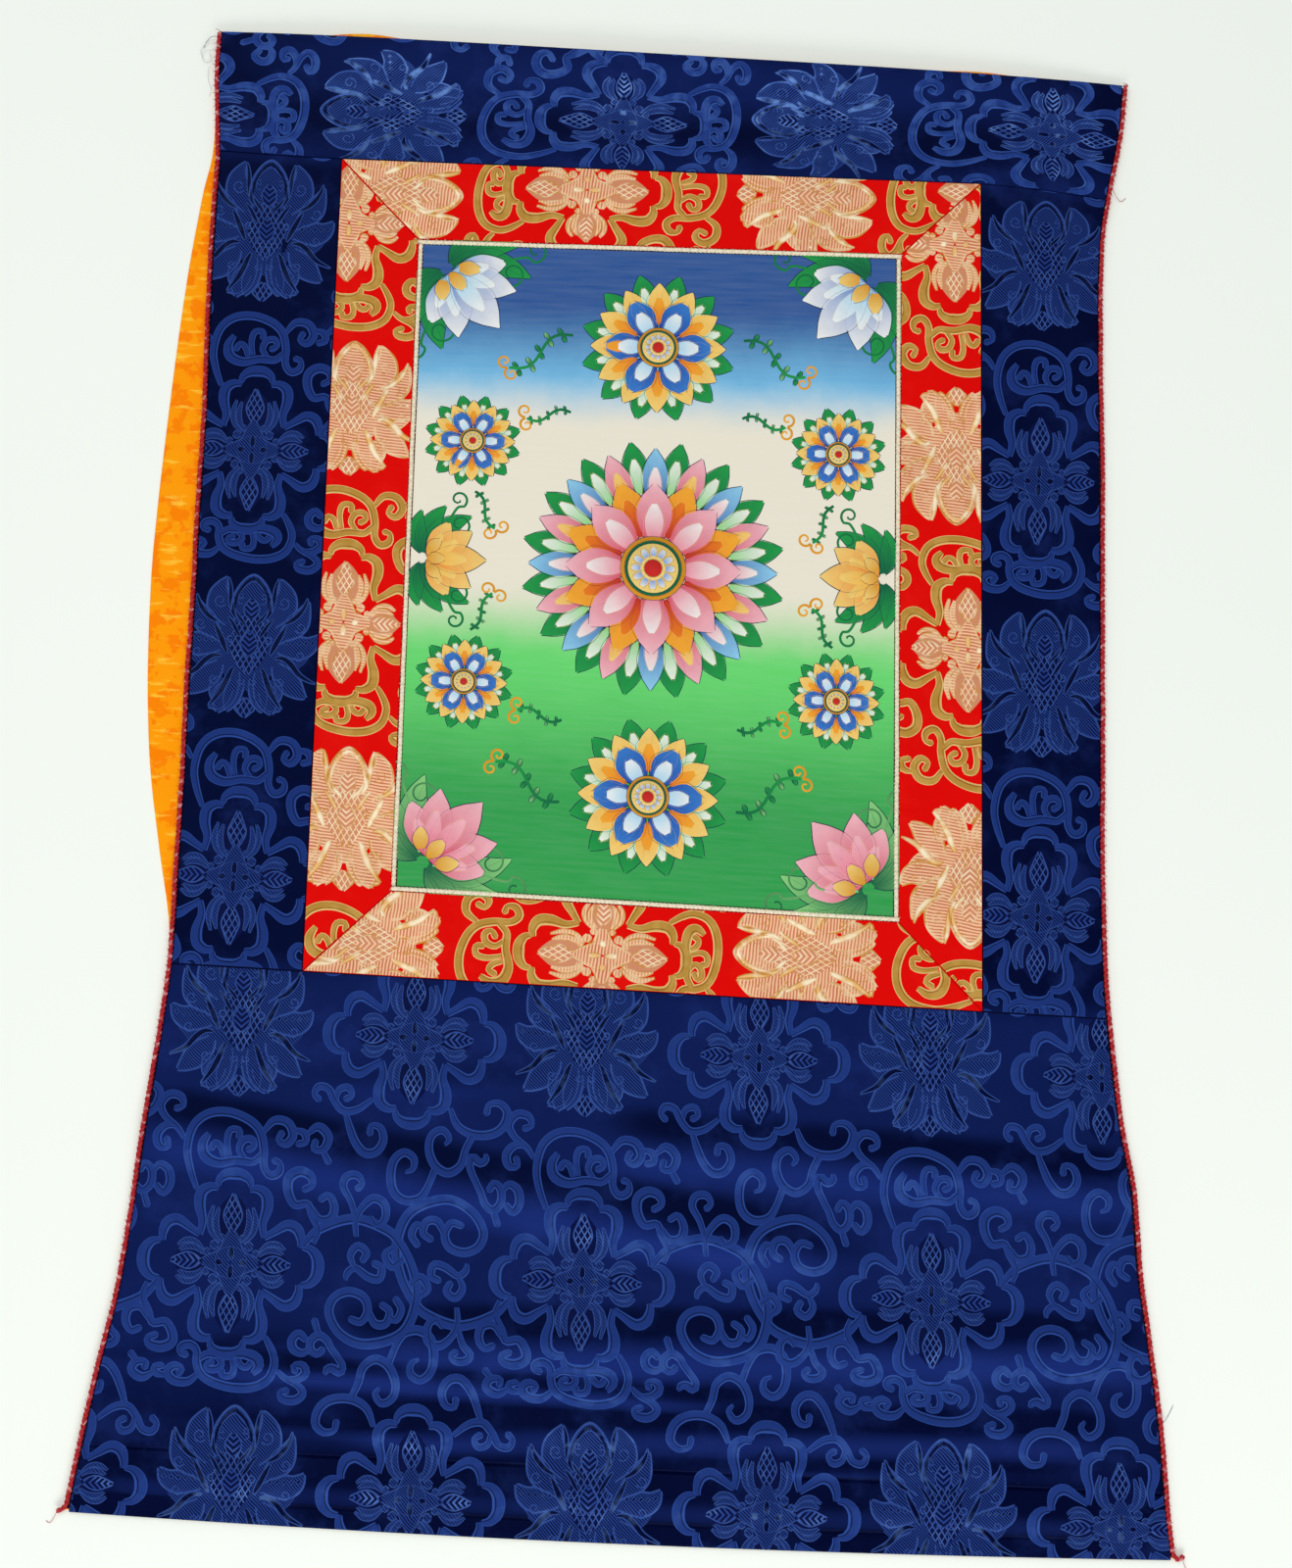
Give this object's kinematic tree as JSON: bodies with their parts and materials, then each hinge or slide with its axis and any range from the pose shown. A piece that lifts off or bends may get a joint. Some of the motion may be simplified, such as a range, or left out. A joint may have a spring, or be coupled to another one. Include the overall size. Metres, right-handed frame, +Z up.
{
  "type": "thangka scroll painting",
  "caption": "Cloth scroll painting lying flat: painted canvas in a mitred brocade frame on navy satin, with red piping down both long edges and a silk lining behind.",
  "frame": {"origin": "middle of the part's bounding box in plan, on the surface that the cloth lies on", "axes": "+Y towards the head of the scroll, +X to the right seen from the painted side, +Z up out of the painted side"},
  "size_m": [0.639, 0.9048, 0.0095],
  "materials": {
    "lining_silk": "satin",
    "navy_brocade": "satin jacquard",
    "red_gold_brocade": "brocade",
    "painted_canvas": "matte paint on cloth",
    "cream_cord": "matte",
    "red_piping": "matte"
  },
  "bodies": {
    "root": {"lining": "lining_silk", "panel_head": "navy_brocade", "panel_left": "navy_brocade", "panel_right": "navy_brocade", "panel_foot": "navy_brocade", "frame_strip_top": "red_gold_brocade", "frame_strip_bottom": "red_gold_brocade", "frame_strip_left": "red_gold_brocade", "frame_strip_right": "red_gold_brocade", "painting_canvas": "painted_canvas", "cord_top": "cream_cord", "cord_bottom": "cream_cord", "cord_left": "cream_cord", "cord_right": "cream_cord", "piping_left": "red_piping", "piping_right": "red_piping"}
  },
  "joints": []
}
